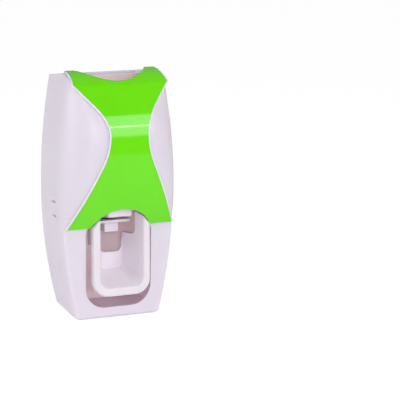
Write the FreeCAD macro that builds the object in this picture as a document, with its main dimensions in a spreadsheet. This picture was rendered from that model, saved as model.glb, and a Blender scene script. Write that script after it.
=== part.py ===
"""Wall-hung toothpaste dispenser with a push lever, a piston pump and a lift-in tube socket.

Lengths are millimetres. X runs across the dispenser, +Z is up and the front faces -Y.
Every piece is drawn with its depth measured forward from the back of the housing and its
height from the bottom of the housing, then placed so that the middle of the face that is
stuck to the wall is the origin.
"""
import FreeCAD, Part
import math
import os
import re
import Sketcher

TOUCH = 0.01  # mm within which two places count as the same

doc = FreeCAD.newDocument("toothpaste_dispenser")
sheet = doc.addObject("Spreadsheet::Sheet", "Sizes")

SIZES = (
    # Housing: a barrel seen from the front, with a blunt nose seen from the side
    ("body_height", 151.6, "top of the ridge on the deck"),
    ("back_drop", 2.4, "top of the back edge below the ridge"),
    ("back_low", 4.5, "bottom of the back edge"),
    ("belly_half", 38.0, "half width at the widest height"),
    ("belly_height", 80.0, "height of the widest place"),
    ("top_half", 31.1, "half width at the top"),
    ("base_half", 28.2, "half width at the bottom"),
    ("wall", 2.0, "wall of the housing"),
    ("cheek_depth", 26.5, "depth where the flat side turns into the cheek"),
    ("corner_run", 1.8, "width of the rounded front corner away from the cheeks"),
    ("base_depth", 31.8, "depth of the front at the bottom"),
    ("ridge_depth", 19.4, "depth of the ridge on the deck"),
    ("deck_radius", 26.8, "bow of the deck in front of the ridge"),
    ("base_round", 3.0, "rounding of the bottom edges"),
    ("base_drop", 1.0, "bottom below the level that heights start from"),
    ("mouth_radius", 24.5, "tube mouth in the deck"),
    ("mouth_set", 1.8, "deck left between the tube mouth and the brow"),
    ("mouth_lip", 2.2, "deck left behind the tube mouth"),
    # Front panel: an hourglass on the nose
    ("panel_thick", 1.4, "height of the panel's face above the housing"),
    ("panel_gap", 0.2, "room between the panel and the housing"),
    ("nose_depth", 51.9, "greatest depth of the panel's face"),
    ("nose_drop", 37.1, "greatest depth below the ridge"),
    ("nose_radius", 29.6, "bend between the upper and lower face"),
    ("nose_angle", 30.0, "lean of the upper face, degrees"),
    ("foot_depth", 35.27, "depth of the panel's face at its foot"),
    ("foot_edge", 2.44, "housing beside the panel's foot"),
    ("foot_height", 57.5, "height of the panel's foot"),
    ("waist_half", 12.1, "half width at the waist"),
    ("waist_drop", 35.6, "waist below the ridge"),
    ("waist_low_curve", 0.33, "part of the height from the waist to the foot that is curved"),
    ("waist_high_curve", 0.59, "part of the height from the waist to the brow that is curved"),
    ("brow_edge", 1.30, "housing beside the brow"),
    ("brow_drop", 5.3, "brow, where the face meets the deck, below the ridge"),
    ("horn_edge", 1.53, "housing beside the back of the horns"),
    ("horn_rise", 1.4, "back of the horns above the ridge"),
    ("brow_round", 5.0, "rounding of the brow"),
    ("arch_half", 19.7, "half width of the arch at the foot"),
    ("arch_rise", 11.5, "rise of the arch"),
    ("tab_width", 5.0, "snap tab of the panel"),
    ("tab_thick", 1.6, "thickness of a snap tab"),
    ("tab_reach", 3.0, "length of a snap tab inside the housing"),
    ("tab_low_edge", 3.8, "lower tabs from the panel's edge"),
    ("tab_low_z", 77.0, "height of the lower tabs"),
    ("tab_high_edge", 8.7, "upper tabs from the panel's edge"),
    ("tab_drop", 14.6, "upper tabs below the ridge"),
    ("slip", 0.2, "clearance round a piece that slips into place"),
    # Lever opening and side latches of the housing
    ("gate_half", 21.7, "half width of the lever opening"),
    ("gate_low", 6.2, "bottom of the lever opening"),
    ("gate_round", 13.0, "bottom corners of the lever opening"),
    ("arch_margin", 0.4, "housing kept back from the panel's arch"),
    ("slit_low", 64.4, "height of the lower latch slit"),
    ("slit_gap", 8.9, "distance between the two latch slits"),
    ("slit_back", 16.9, "depth of the slits' back end"),
    ("slit_long", 7.2, "length of a slit"),
    ("slit_wide", 1.2, "width of a slit"),
    # Rear cover and the fixing to the wall
    ("cover_thick", 2.0, "rear cover"),
    ("pad_thick", 1.0, "adhesive foam pad"),
    ("pad_width", 44.0, "width of the pad"),
    ("pad_height", 90.0, "height of the pad"),
    ("pad_round", 4.0, "corners of the pad"),
    ("mount_height", 80.0, "height of the pad's middle"),
    ("cover_low_edge", 5.65, "lower cover screws from the side"),
    ("cover_low_z", 22.0, "height of the lower cover screws"),
    ("cover_high_edge", 7.0, "upper cover screws from the side"),
    ("cover_drop", 17.6, "upper cover screws below the ridge"),
    ("post_radius", 3.2, "screw post of the housing"),
    ("screw_radius", 1.3, "shank of a screw"),
    ("screw_head", 2.6, "radius of a screw's head"),
    ("screw_sink", 1.4, "height of a screw's head"),
    ("screw_long", 9.0, "length of a screw's shank"),
    ("screw_fit", 0.05, "clearance round a screw"),
    # Push lever: a scoop with a broad rim, hung from a pin behind the panel
    ("lever_front", 39.0, "depth of the rim's face"),
    ("rim_deep", 5.0, "straight part of the rim"),
    ("lever_back", 18.0, "depth of the scoop's back"),
    ("lever_half", 18.8, "half width of the rim"),
    ("lever_low", 14.2, "bottom of the rim"),
    ("lever_high", 65.0, "top of the scoop, inside the arch"),
    ("lever_round", 10.0, "bottom corners of the rim"),
    ("heel_half", 9.8, "half width of the scoop's back outside"),
    ("heel_low", 26.0, "bottom of the scoop's back outside"),
    ("heel_round", 4.0, "corners of the scoop's back"),
    ("scoop_half", 14.5, "half width of the scoop at the rim"),
    ("scoop_low", 19.3, "floor of the scoop at the rim"),
    ("scoop_round", 6.0, "corners of the scoop at the rim"),
    ("scoop_heel", 8.0, "half width of the scoop at its back"),
    ("scoop_heel_low", 28.0, "floor of the scoop at its back"),
    ("scoop_back", 20.0, "depth of the scoop's back inside"),
    ("notch_half", 7.4, "half width of the notch in the scoop's back"),
    ("notch_low", 38.5, "bottom of the notch"),
    ("notch_round", 4.0, "bottom corners of the notch"),
    ("notch_flare", 1.2, "half width that the notch gains up to the crest"),
    ("crest_height", 50.5, "top of the scoop behind its rim"),
    ("crest_depth", 31.0, "depth where the scoop rises to its rim"),
    ("crest_round", 3.5, "rounding where the scoop rises to its rim"),
    ("arch_gap", 0.6, "gap between the rim and the panel's arch"),
    ("arm_inner", 14.6, "inner face of a lever arm"),
    ("arm_thick", 3.0, "thickness of a lever arm"),
    ("arm_set", 7.5, "back of a lever arm behind the pin's axis"),
    ("arm_room", 1.3, "room between a lever arm and the front wall beside the arch"),
    ("arm_low", 46.0, "bottom of a lever arm"),
    ("rim_edge", 1.4, "rounding of the rim's edges"),
    ("nose_room", 2.347, "room between the lever's nose and the front wall"),
    ("pivot_height", 86.0, "height of the hinge pin"),
    ("pivot_boss", 4.5, "boss of a lever arm round the pin"),
    ("pin_radius", 1.5, "hinge pin"),
    ("pin_bevel", 0.3, "bevel at the ends of the hinge pin"),
    ("pin_fit", 0.05, "running clearance on the hinge pin"),
    ("clip_radius", 3.0, "retaining clip on the pin"),
    ("clip_thick", 0.6, "thickness of a retaining clip"),
    ("bar_set", 0.5, "back of the crossbar behind the pin's axis"),
    ("bar_room", 0.98, "room between the crossbar and the front wall"),
    ("bar_low", 66.5, "bottom of the crossbar"),
    ("bar_high", 74.0, "top of the crossbar"),
    ("thumb_half", 8.2, "half width of the block on the crossbar"),
    ("thumb_low", 63.0, "bottom of the block on the crossbar"),
    ("thumb_round", 1.4, "rounding of the block"),
    ("nose_bar", 2.5, "radius of the nose that pushes the piston"),
    # Pump: a horizontal piston below the tube socket and above the nozzle
    ("frame_back", 6.0, "depth of the frame plate's back"),
    ("frame_thick", 2.0, "frame plate, ears and shelf"),
    ("frame_half", 28.5, "half width of the frame plate"),
    ("frame_low", 60.0, "bottom of the frame plate"),
    ("shelf_top", 96.0, "top of the shelf"),
    ("shelf_front", 30.0, "depth of the shelf's front"),
    ("ear_inner", 11.5, "inner face of an ear"),
    ("ear_root", 24.0, "depth where an ear narrows"),
    ("ear_low", 62.0, "bottom of an ear"),
    ("ear_round", 4.5, "end of an ear round the pin"),
    ("frame_screw_x", 24.0, "place of the frame screws"),
    ("frame_screw_low", 66.0, "height of the lower frame screws"),
    ("frame_screw_high", 90.0, "height of the upper frame screws"),
    ("pump_height", 70.0, "height of the piston's axis"),
    ("pump_bore", 7.0, "radius of the cylinder's bore"),
    ("pump_wall", 2.0, "wall of the cylinder"),
    ("pump_front", 26.0, "depth of the cylinder's mouth"),
    ("cap_thick", 2.0, "end cap of the cylinder"),
    ("cap_spigot", 3.8, "spigot inside the spring"),
    ("cap_reach", 2.0, "length of the spigot"),
    ("piston_fit", 0.08, "running clearance of the piston"),
    ("piston_back", 22.5, "depth of the piston's back at rest"),
    ("nose_gap", 0.3, "gap between the piston and the lever's nose"),
    ("seal_depth", 25.0, "depth of the piston seal"),
    ("seal_radius", 0.5, "section of the piston seal"),
    ("seal_room", 0.1, "room round the seal in its groove"),
    ("spring_radius", 5.0, "mean radius of the return spring"),
    ("spring_wire", 0.4, "radius of the spring's wire"),
    ("spring_turns", 5.0, "turns of the return spring"),
    ("flow_depth", 17.0, "depth of the upright passage"),
    ("flow_radius", 3.2, "radius of the upright passage"),
    ("stem_wall", 1.9, "wall of the inlet and outlet stems"),
    ("stem_drop", 0.5, "outlet stem below the cylinder"),
    ("gasket_thick", 0.8, "gasket above the nozzle"),
    ("nozzle_half", 11.0, "half width of the nozzle plate"),
    ("nozzle_reach", 9.0, "nozzle plate forward and back of the passage"),
    ("nozzle_plate", 1.6, "thickness of the nozzle plate"),
    ("spout_half", 4.6, "half width of the spout"),
    ("spout_long", 6.4, "length of the spout below its plate"),
    ("spigot_wall", 0.9, "wall of the nozzle's spigot"),
    ("spigot_long", 2.2, "length of the nozzle's spigot"),
    ("valve_long", 4.4, "length of a duckbill valve"),
    ("valve_tip", 1.0, "radius of a valve's tip"),
    ("valve_slit", 0.25, "slit in a valve's tip"),
    ("socket_clear", 2.0, "room between the tube socket and the rear cover"),
    ("socket_wall", 2.0, "wall of the tube socket"),
    ("socket_floor", 2.0, "floor of the tube socket"),
    ("socket_high", 14.0, "height of the tube socket"),
    ("socket_flare", 1.2, "flare of the socket's rim"),
    ("grommet_neck", 5.0, "bore of the inlet grommet"),
    ("grommet_lip", 2.5, "rim of the inlet grommet round its mouth"),
    ("grommet_high", 9.0, "height of the inlet grommet"),
)


ALIASES = []


def write_size(alias, number, note):
    """Add one row to the sheet: the note beside the value, which gets the alias."""
    ALIASES.append(alias)
    row = len(ALIASES)
    sheet.set(f"A{row}", note)
    sheet.set(f"B{row}", str(number))
    sheet.setAlias(f"B{row}", alias)


def fill_sheet():
    """Write every driving size to the sheet, with its alias beside its note."""
    for alias, number, note in SIZES:
        write_size(alias, number, note)
    doc.recompute()


def size(alias):
    """Value of one driving size."""
    return float(sheet.get(alias))


def derive(alias, number, note):
    """Add a size that follows from other sizes."""
    write_size(alias, number, note)
    doc.recompute()


def formula(text):
    """Expression with every alias in the text referred to the sheet."""
    return re.sub(r"[a-z_]+", lambda m: f"Sizes.{m[0]}" if m[0] in ALIASES else m[0], str(text))


def bind(item, **properties):
    """Tie properties of an item to sheet expressions; a double underscore stands for a dot."""
    for name, text in properties.items():
        item.setExpression(name.replace("__", "."), formula(text))
    return item


fill_sheet()


def value(text):
    """Number that an expression gives now."""
    return float(sheet.evalExpression(formula(text)))


def vector(x, depth, z):
    """Point at a distance across, a depth forward of the housing's back and a height."""
    return FreeCAD.Vector(x, -depth, z)


def line(start, end):
    return Part.LineSegment(start, end).toShape()


def side_half(z):
    """Half width of the barrel at a height."""
    rise = z - size("belly_height")
    reach = size("body_height") - size("belly_height") if rise > 0 else size("belly_height")
    run = size("belly_half") - size("top_half" if rise > 0 else "base_half")
    radius = (reach ** 2 + run ** 2) / (2 * run)
    return size("belly_half") - radius + math.sqrt(radius ** 2 - rise ** 2)


def from_top():
    """Heights that are set out from the ridge on the deck."""
    top = size("body_height")
    derive("back_top", top - size("back_drop"), "top of the back edge")
    derive("nose_height", top - size("nose_drop"), "height of the greatest depth")
    derive("waist_height", top - size("waist_drop"), "height of the waist")
    derive("brow_height", top - size("brow_drop"), "height of the brow")
    derive("horn_height", top + size("horn_rise"), "height of the back of the horns")
    derive("tab_high_z", top - size("tab_drop"), "height of the upper tabs")
    derive("cover_high_z", top - size("cover_drop"), "height of the upper cover screws")


def from_side():
    """Half widths that are set out from the side of the barrel."""
    for place in ("foot", "brow", "horn"):
        half = side_half(size(f"{place}_height")) - size(f"{place}_edge")
        derive(f"{place}_half", half, f"half width of the panel at its {place}")
    for level in ("low", "high"):
        half = side_half(size(f"cover_{level}_z")) - size(f"cover_{level}_edge")
        derive(f"cover_{level}_x", half, f"place of the {level} cover screws")


from_top()
from_side()


def waist_curve(end):
    """Curve of the hourglass from its waist to the foot or the brow.

    Gives the height of the curve's end from the waist, and the factor of its parabola.
    """
    name = "low" if end == "foot" else "high"
    share = size(f"waist_{name}_curve")
    rise = abs(size(f"{end}_height") - size("waist_height"))
    run = size(f"{end}_half") - size("waist_half")
    return share * rise, run / (rise ** 2 * share * (2 - share))


def panel_half(z):
    """Half width of the hourglass at a height."""
    if z > size("brow_height"):
        lean = (size("horn_half") - size("brow_half")) / (size("horn_height") - size("brow_height"))
        return size("brow_half") + lean * (z - size("brow_height"))
    away = abs(z - size("waist_height"))
    bend, factor = waist_curve("foot" if z < size("waist_height") else "brow")
    if away < bend:
        return size("waist_half") + factor * away ** 2
    return size("waist_half") + factor * bend * (2 * away - bend)


for level in ("low", "high"):
    place = panel_half(size(f"tab_{level}_z")) - size(f"tab_{level}_edge")
    derive(f"tab_{level}_x", place, f"place of the {level} tabs")


def chin_radius():
    """Radius of the lower face, from its foot to the greatest depth."""
    rise, run = size("nose_height") - size("foot_height"), size("nose_depth") - size("foot_depth")
    return (rise ** 2 + run ** 2) / (2 * run)


def face_depth(z, inset):
    """Depth of the nose at a height, moved in by an inset along its normal."""
    rise = z - size("nose_height")
    lean = math.radians(size("nose_angle"))
    upper = size("nose_radius") - inset
    if rise > upper * math.sin(lean):
        slope = (upper - rise * math.sin(lean)) / math.cos(lean)
        return size("nose_depth") - size("nose_radius") + slope
    if rise > 0:
        return size("nose_depth") - size("nose_radius") + math.sqrt(upper ** 2 - rise ** 2)
    lower = chin_radius() - inset
    return size("nose_depth") - chin_radius() + math.sqrt(lower ** 2 - rise ** 2)


def front_depth(z, inset):
    """Depth of the housing's front at a height, moved in by an inset."""
    if z >= size("foot_height"):
        return face_depth(z, size("panel_thick") + inset)
    foot = face_depth(size("foot_height"), size("panel_thick"))
    share = z / size("foot_height")
    return size("base_depth") + share * (foot - size("base_depth")) - inset


def from_front():
    """Depths of the lever that are set out from the inside of the front wall."""
    wall = size("wall")
    pivot = front_depth(size("pump_height"), wall) - size("nose_bar") - size("nose_room")
    derive("pivot_depth", pivot, "depth of the hinge pin")
    derive("bar_front", front_depth(size("bar_low"), wall) - size("bar_room"), "front of the crossbar")
    derive("bar_back", size("pivot_depth") - size("bar_set"), "back of the crossbar")
    outside = size("arm_inner") + size("arm_thick")
    beside = value(ARCH_CENTRE) + math.sqrt(value(f"{ARCH_RADIUS} + arch_margin") ** 2 - outside ** 2)
    derive("arm_front", front_depth(beside, wall) - size("arm_room"), "front of a lever arm")
    derive("arm_back", size("pivot_depth") - size("arm_set"), "back of a lever arm")


ARCH_RADIUS = "(arch_half * arch_half + arch_rise * arch_rise) / (2 * arch_rise)"
ARCH_CENTRE = f"foot_height + arch_rise - {ARCH_RADIUS}"
FAR = "2 * nose_depth"
from_front()


def quarter(start, corner, end):
    """Quarter of an ellipse from start to end, tangent to both sides of the corner."""
    curve = Part.BSplineCurve()
    weights = [1.0, math.sqrt(0.5), 1.0]
    curve.buildFromPolesMultsKnots([start, corner, end], [3, 3], [0.0, 1.0], False, 2, weights)
    return curve.toShape()


def barrel_section(z, inset, back, tilt=0.0):
    """Outline of the housing at a height: flat back, sides and front, joined by the cheeks.

    A tilt of 1 lays the outline parallel to the sloped bottom, and 0 lays it level.
    """
    side = side_half(z) - inset
    front = front_depth(z, inset)
    cheek = min(size("cheek_depth"), front - 2 * size("corner_run"))
    flat = side - size("corner_run")
    if z >= size("foot_height"):
        flat = min(flat, panel_half(z))

    def at(x, depth):
        return vector(x, depth, z + tilt * size("back_low") * (1 - depth / size("base_depth")))

    edges = [
        line(at(-side, back), at(-side, cheek)),
        quarter(at(-side, cheek), at(-side, front), at(-flat, front)),
        line(at(-flat, front), at(flat, front)),
        quarter(at(flat, front), at(side, front), at(side, cheek)),
        line(at(side, cheek), at(side, back)),
        line(at(side, back), at(-side, back)),
    ]
    return Part.Wire(edges)


def spread(start, end, count):
    """Evenly spaced heights, both ends included."""
    return [start + (end - start) * i / count for i in range(count + 1)]


def barrel(inset, back):
    """Solid inside the housing's outline, moved in by an inset, from its bottom to above its deck."""
    foot, nose = size("foot_height"), size("nose_height")
    bend = face_bend(0)
    high = size("body_height") + size("base_round")
    radius, start = size("base_round") - inset, size("base_round") - size("base_drop")
    base, lower = [], []
    for turn in spread(0, math.pi / 2, 4):
        z = start - radius * math.cos(turn)
        base.append(barrel_section(z, inset + radius * (1 - math.sin(turn)), back, 1.0))
    for z in spread(start, foot, 4):
        lower.append(barrel_section(z, inset, back, (foot - z) / (foot - start)))
    heights = spread(foot, nose, 6) + spread(nose, bend, 3)[1:] + spread(bend, high, 8)[1:]
    upper = [barrel_section(z, inset, back) for z in heights]
    solids = [Part.makeLoft(wires, True, False) for wires in (base, lower, upper)]
    return solids[0].multiFuse(solids[1:]).removeSplitter()


BOW_END = math.pi / 4


def face_bend(inset):
    """Height where the upper face starts, above the bend of the nose."""
    lean = math.radians(size("nose_angle"))
    return size("nose_height") + (size("nose_radius") - inset) * math.sin(lean)


def face_apart(inset, depth):
    """Distance from the middle of a bow that starts at a depth to the upper face, moved in by an inset."""
    lean = math.radians(size("nose_angle"))
    rise = face_bend(inset) - size("body_height") + size("deck_radius")
    return (face_depth(face_bend(inset), inset) - depth) * math.cos(lean) + rise * math.sin(lean)


def bow_depth():
    """Depth where the deck's bow starts: at the ridge, or in front of it where the bow falls short of the face."""
    lean = math.radians(size("nose_angle"))
    reach = (size("deck_radius") + size("panel_thick")) * math.sin(BOW_END + lean)
    short = face_apart(0, size("ridge_depth")) - reach
    return size("ridge_depth") + max(0, short) / math.cos(lean)


def on_deck(inset, turn):
    """Point of the deck's bow in side view, at an angle forward of its start, moved in by an inset."""
    radius = size("deck_radius") - inset
    middle = size("body_height") - size("deck_radius")
    return bow_depth() + radius * math.sin(turn), middle + radius * math.cos(turn)


def joined(points):
    """Lines through the points, left out where two points fall together."""
    return [line(start, end) for start, end in zip(points, points[1:]) if start.distanceToPoint(end) > TOUCH]


def deck_slab(inset, back):
    """Slab across the whole width, under the back slope of the deck and the bow in front of the ridge."""
    far = 2 * size("nose_depth")
    wide = 2 * size("belly_half")
    rise = (size("body_height") - size("back_top")) / size("ridge_depth")
    start, bow, brow = (on_deck(inset, turn) for turn in (0, BOW_END / 2, BOW_END))
    outline = [
        brow,
        (far, brow[1] - math.tan(BOW_END) * (far - brow[0])),
        (far, -size("body_height")),
        (back, -size("body_height")),
        (back, start[1] - rise * (size("ridge_depth") - back)),
        (size("ridge_depth"), start[1]),
        start,
    ]
    points = [vector(-wide, depth, z) for depth, z in outline]
    edges = joined(points)
    edges.append(Part.Arc(points[-1], vector(-wide, *bow), points[0]).toShape())
    face = Part.Face(Part.Wire(edges))
    return face.extrude(FreeCAD.Vector(2 * wide, 0, 0))


def form(name, shape):
    """Shape that is worked out point by point, kept as an object of the document."""
    item = doc.addObject("Part::Feature", name)
    item.Shape = shape
    return item


def cut(name, base, *tools):
    """Base with one or more tools taken away."""
    item = doc.addObject("Part::Cut", name)
    item.Base = base
    item.Tool = tools[0] if len(tools) == 1 else fuse(f"{name}_tools", *tools)
    return item


def fuse(name, *shapes):
    item = doc.addObject("Part::MultiFuse", name)
    item.Shapes = list(shapes)
    return item


def common(name, *shapes):
    item = doc.addObject("Part::MultiCommon", name)
    item.Shapes = list(shapes)
    return item


def box(name, x0, x1, d0, d1, z0, z1):
    """Box between expressions for the distance across, the depth and the height."""
    item = doc.addObject("Part::Box", name)
    bind(item, Length=f"({x1}) - ({x0})", Width=f"({d1}) - ({d0})", Height=f"({z1}) - ({z0})")
    bind(item, Placement__Base__x=x0, Placement__Base__y=f"-({d1})", Placement__Base__z=z0)
    return item


TURNS = {
    "x": FreeCAD.Rotation(FreeCAD.Vector(0, 1, 0), 90),
    "depth": FreeCAD.Rotation(FreeCAD.Vector(1, 0, 0), 90),
    "z": FreeCAD.Rotation(),
}


def rod(name, axis, radius, start, end, x="0", depth="0", z="0"):
    """Cylinder along x, depth or z from one expression to another."""
    item = doc.addObject("Part::Cylinder", name)
    item.Placement = FreeCAD.Placement(FreeCAD.Vector(), TURNS[axis])
    place = {"x": x, "depth": depth, "z": z}
    place[axis] = start
    bind(item, Radius=radius, Height=f"({end}) - ({start})")
    bind(item, Placement__Base__x=place["x"], Placement__Base__y=f"-({place['depth']})")
    bind(item, Placement__Base__z=place["z"])
    return item


def rounded(name, base, radius, pick):
    """Base with the edges that pick chooses rounded."""
    doc.recompute()
    edges = [number for number, edge in enumerate(base.Shape.Edges, 1) if pick(edge)]
    item = doc.addObject("Part::Fillet", name)
    item.Base = base
    item.Edges = [(number, size(radius), size(radius)) for number in edges]
    return item


PIECES = []


def piece(item, label):
    """Name a finished piece and place it in the dispenser's frame."""
    item.Label = label
    bind(item, Placement__Base__y="-pad_thick", Placement__Base__z="-mount_height")
    PIECES.append(item)
    return item


def make_gate():
    """Room of the lever opening: rounded below, arched above behind the panel's arch."""
    block = box("gate_block", "-gate_half", "gate_half", "frame_back", FAR, "gate_low", ARCH_CENTRE)

    def low_corner(edge):
        bounds = edge.BoundBox
        return bounds.YLength > 1 and abs(bounds.ZMax - size("gate_low")) < TOUCH

    shaft = rounded("gate_shaft", block, "gate_round", low_corner)
    arch = rod("gate_arch", "depth", f"{ARCH_RADIUS} + arch_margin", "frame_back", FAR, z=ARCH_CENTRE)
    head = box("gate_head", "-gate_half", "gate_half", "0", FAR, ARCH_CENTRE, "body_height")
    return fuse("gate", shaft, common("gate_top", arch, head))


def make_mouth(name):
    """Room of the tube mouth in the deck: round in front, straight-sided behind."""
    low, high = "brow_height - 3 * wall", "2 * body_height"
    middle = face_depth(size("brow_height"), 0) - size("mouth_set") - size("mouth_radius")
    ring = rod(f"{name}_round", "z", "mouth_radius", low, high, depth=middle)
    front = box(f"{name}_front", "-mouth_radius", "mouth_radius", middle, FAR, low, high)
    back = box(f"{name}_back", "-mouth_radius", "mouth_radius", "mouth_lip", middle, low, high)
    return fuse(name, common(f"{name}_bow", ring, front), back)


def make_slits():
    """Latch slits through both side walls."""
    slits = []
    for side in ("left", "right"):
        sign = -1 if side == "left" else 1
        for level in (0, 1):
            inner, outer = sorted((sign * size("belly_half") / 2, sign * size("belly_half") * 2))
            bottom = f"slit_low + {level} * slit_gap - slit_wide / 2"
            slits.append(box(f"slit_{side}_{level}", inner, outer, "slit_back", "slit_back + slit_long",
                             bottom, f"{bottom} + slit_wide"))
    return slits


CORNERS = [(sign, level) for level in ("low", "high") for sign in (-1, 1)]


def make_tabs(name, gap):
    """Snap tabs of the panel, or their slots in the housing when they get a gap all round."""
    tabs = []
    for number, (sign, level) in enumerate(CORNERS):
        x, z = f"{sign} * tab_{level}_x", f"tab_{level}_z"
        half = f"tab_width / 2 + {gap}"
        z_level = size(f"tab_{level}_z")
        outer = face_depth(z_level, size("panel_thick") / 2)
        inner = front_depth(z_level, size("wall")) - size("tab_reach")
        tabs.append(box(f"{name}_{number}", f"{x} - ({half})", f"{x} + {half}", inner, outer,
                        f"{z} - tab_thick / 2 - {gap}", f"{z} + tab_thick / 2 + {gap}"))
    return tabs


COVER_SCREWS = [(sign, f"cover_{level}_x", f"cover_{level}_z") for sign, level in CORNERS]
FRAME_SCREWS = [(sign, "frame_screw_x", f"frame_screw_{level}") for sign, level in CORNERS]
FRAME_FRONT = "frame_back + frame_thick"
SCREW_SETS = (("cover", COVER_SCREWS, "cover_thick"), ("frame", FRAME_SCREWS, FRAME_FRONT))


def make_posts():
    """Posts that reach from the front wall back to the rear cover and to the pump frame."""
    posts = []
    for name, places, seat in SCREW_SETS:
        for number, (sign, x, z) in enumerate(places):
            posts.append(rod(f"{name}_post_{number}", "depth", "post_radius", seat, FAR,
                             x=f"{sign} * {x}", z=z))
    return posts


def make_pilots():
    """Screw holes in the posts."""
    pilots = []
    for name, places, seat in SCREW_SETS:
        for number, (sign, x, z) in enumerate(places):
            pilots.append(rod(f"{name}_pilot_{number}", "depth", "screw_radius + screw_fit", seat,
                              f"{seat} + screw_long", x=f"{sign} * {x}", z=z))
    return pilots


def make_housing():
    """White shell: barrel skin, hollow from the back, with its openings and screw posts."""
    over = size("wall")
    skin = common("skin", form("skin_barrel", barrel(0, 0)), form("skin_deck", deck_slab(0, 0)))
    hollow = common("hollow", form("hollow_barrel", barrel(size("wall"), -over)),
                    form("hollow_deck", deck_slab(size("wall"), -over)))
    shell = cut("shell", skin, hollow)
    posts = common("posts", fuse("post_rods", *make_posts()), skin)
    return cut("housing_body", fuse("shell_with_posts", shell, posts), make_gate(), make_mouth("mouth"),
               *make_slits(), *make_tabs("tab_slot", "slip"), *make_pilots())


def strip_edge(inset):
    """Side view of the panel from the ridge over the brow to the foot, as edges and end points."""
    above = inset - size("panel_thick")
    radius = size("deck_radius") - above
    turn = math.asin(face_apart(inset, bow_depth()) / radius) - math.radians(size("nose_angle"))
    start, bow, brow = (vector(0, *on_deck(above, angle)) for angle in (0, turn / 2, turn))
    ridge = vector(0, size("ridge_depth"), start.z)
    bend, nose, foot = face_bend(inset), size("nose_height"), size("foot_height")
    heights = (bend, (bend + nose) / 2, nose, (nose + foot) / 2, foot)
    face = [vector(0, face_depth(z, inset), z) for z in heights]
    edges = joined([ridge, start]) + [
        Part.Arc(start, bow, brow).toShape(),
        line(brow, face[0]),
        Part.Arc(*face[:3]).toShape(),
        Part.Arc(*face[2:]).toShape(),
    ]
    return edges, (ridge, face[-1]), brow


def make_strip():
    """Bent strip across the whole width, as thick as the panel."""
    outer, outer_ends, brow = strip_edge(0)
    inner, inner_ends, _ = strip_edge(size("panel_thick") - size("panel_gap"))
    edges = outer + inner + [line(outer_ends[0], inner_ends[0]), line(outer_ends[1], inner_ends[1])]
    face = Part.Face(Part.Wire(Part.__sortEdges__(edges)))
    wide = size("belly_half")
    solid = face.extrude(FreeCAD.Vector(2 * wide, 0, 0))
    solid.translate(FreeCAD.Vector(-wide, 0, 0))
    strip = form("strip", solid)

    def outer_brow(edge):
        bounds = edge.BoundBox
        return bounds.XLength > 1 and abs(bounds.ZMax - brow.z) < TOUCH and abs(bounds.YMin - brow.y) < TOUCH

    return rounded("bent_strip", strip, "brow_round", outer_brow)


def make_hourglass():
    """Block with the panel's outline in front view."""
    high = 2 * size("body_height") - size("brow_height")

    def on_edge(z, sign):
        return vector(sign * panel_half(z), 0, z)

    foot, waist, brow = size("foot_height"), size("waist_height"), size("brow_height")
    edges = [line(on_edge(foot, -1), on_edge(foot, 1)), line(on_edge(high, -1), on_edge(high, 1))]
    for sign in (-1, 1):
        for end, way in ((foot, -1), (brow, 1)):
            bend = waist_curve("foot" if end == foot else "brow")[0]
            corner = vector(sign * size("waist_half"), 0, waist + way * bend / 2)
            curve = Part.BezierCurve()
            curve.setPoles([on_edge(waist, sign), corner, on_edge(waist + way * bend, sign)])
            edges += [curve.toShape(), line(on_edge(waist + way * bend, sign), on_edge(end, sign))]
        edges.append(line(on_edge(brow, sign), on_edge(high, sign)))
    face = Part.Face(Part.Wire(Part.__sortEdges__(edges)))
    return form("hourglass", face.extrude(vector(0, 2 * size("nose_depth"), 0)))


def make_panel():
    """Green front panel: bent strip in the hourglass outline, with its arch, horns and snap tabs."""
    blank = common("panel_blank", make_strip(), make_hourglass())
    arch = rod("panel_arch", "depth", ARCH_RADIUS, "0", FAR, z=ARCH_CENTRE)
    sheet_part = cut("panel_sheet", blank, arch, make_mouth("panel_mouth"))
    return fuse("panel_body", sheet_part, *make_tabs("tab", "0"))


def cone(name, axis, start_radius, end_radius, start, end, x="0", depth="0", z="0"):
    """Cone along x, depth or z from one expression to another."""
    item = doc.addObject("Part::Cone", name)
    item.Placement = FreeCAD.Placement(FreeCAD.Vector(), TURNS[axis])
    place = {"x": x, "depth": depth, "z": z}
    place[axis] = start
    bind(item, Radius1=start_radius, Radius2=end_radius, Height=f"({end}) - ({start})")
    bind(item, Placement__Base__x=place["x"], Placement__Base__y=f"-({place['depth']})")
    bind(item, Placement__Base__z=place["z"])
    return item


def tube(name, axis, inner, outer, start, end, **place):
    """Pipe along x, depth or z."""
    return cut(name, rod(f"{name}_out", axis, outer, start, end, **place),
               rod(f"{name}_in", axis, inner, start, end, **place))


def compound(name, items):
    """Like pieces kept as separate solids of one object."""
    item = doc.addObject("Part::Compound", name)
    item.Links = items
    return item


def make_screws(name, places, back, seat):
    """Countersunk screws whose heads lie flush with the back of the plate that they hold."""
    screws = []
    for number, (sign, x, z) in enumerate(places):
        place = {"x": f"{sign} * {x}", "z": z}
        head = cone(f"{name}_head_{number}", "depth", "screw_head", "screw_radius", back,
                    f"{back} + screw_sink", **place)
        shank = rod(f"{name}_shank_{number}", "depth", "screw_radius", f"{back} + screw_sink / 2",
                    f"{seat} + screw_long - screw_sink", **place)
        screws.append(fuse(f"{name}_screw_{number}", head, shank))
    return compound(f"{name}_screw_set", screws)


def screw_holes(name, places, back, seat):
    """Countersunk holes for a set of screws in the plate that they hold."""
    holes = []
    for number, (sign, x, z) in enumerate(places):
        place = {"x": f"{sign} * {x}", "z": z}
        holes.append(cone(f"{name}_sink_{number}", "depth", "screw_head + screw_fit",
                          "screw_radius + screw_fit", back, f"{back} + screw_sink + screw_fit", **place))
        holes.append(rod(f"{name}_hole_{number}", "depth", "screw_radius + screw_fit", back, seat, **place))
    return holes


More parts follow.
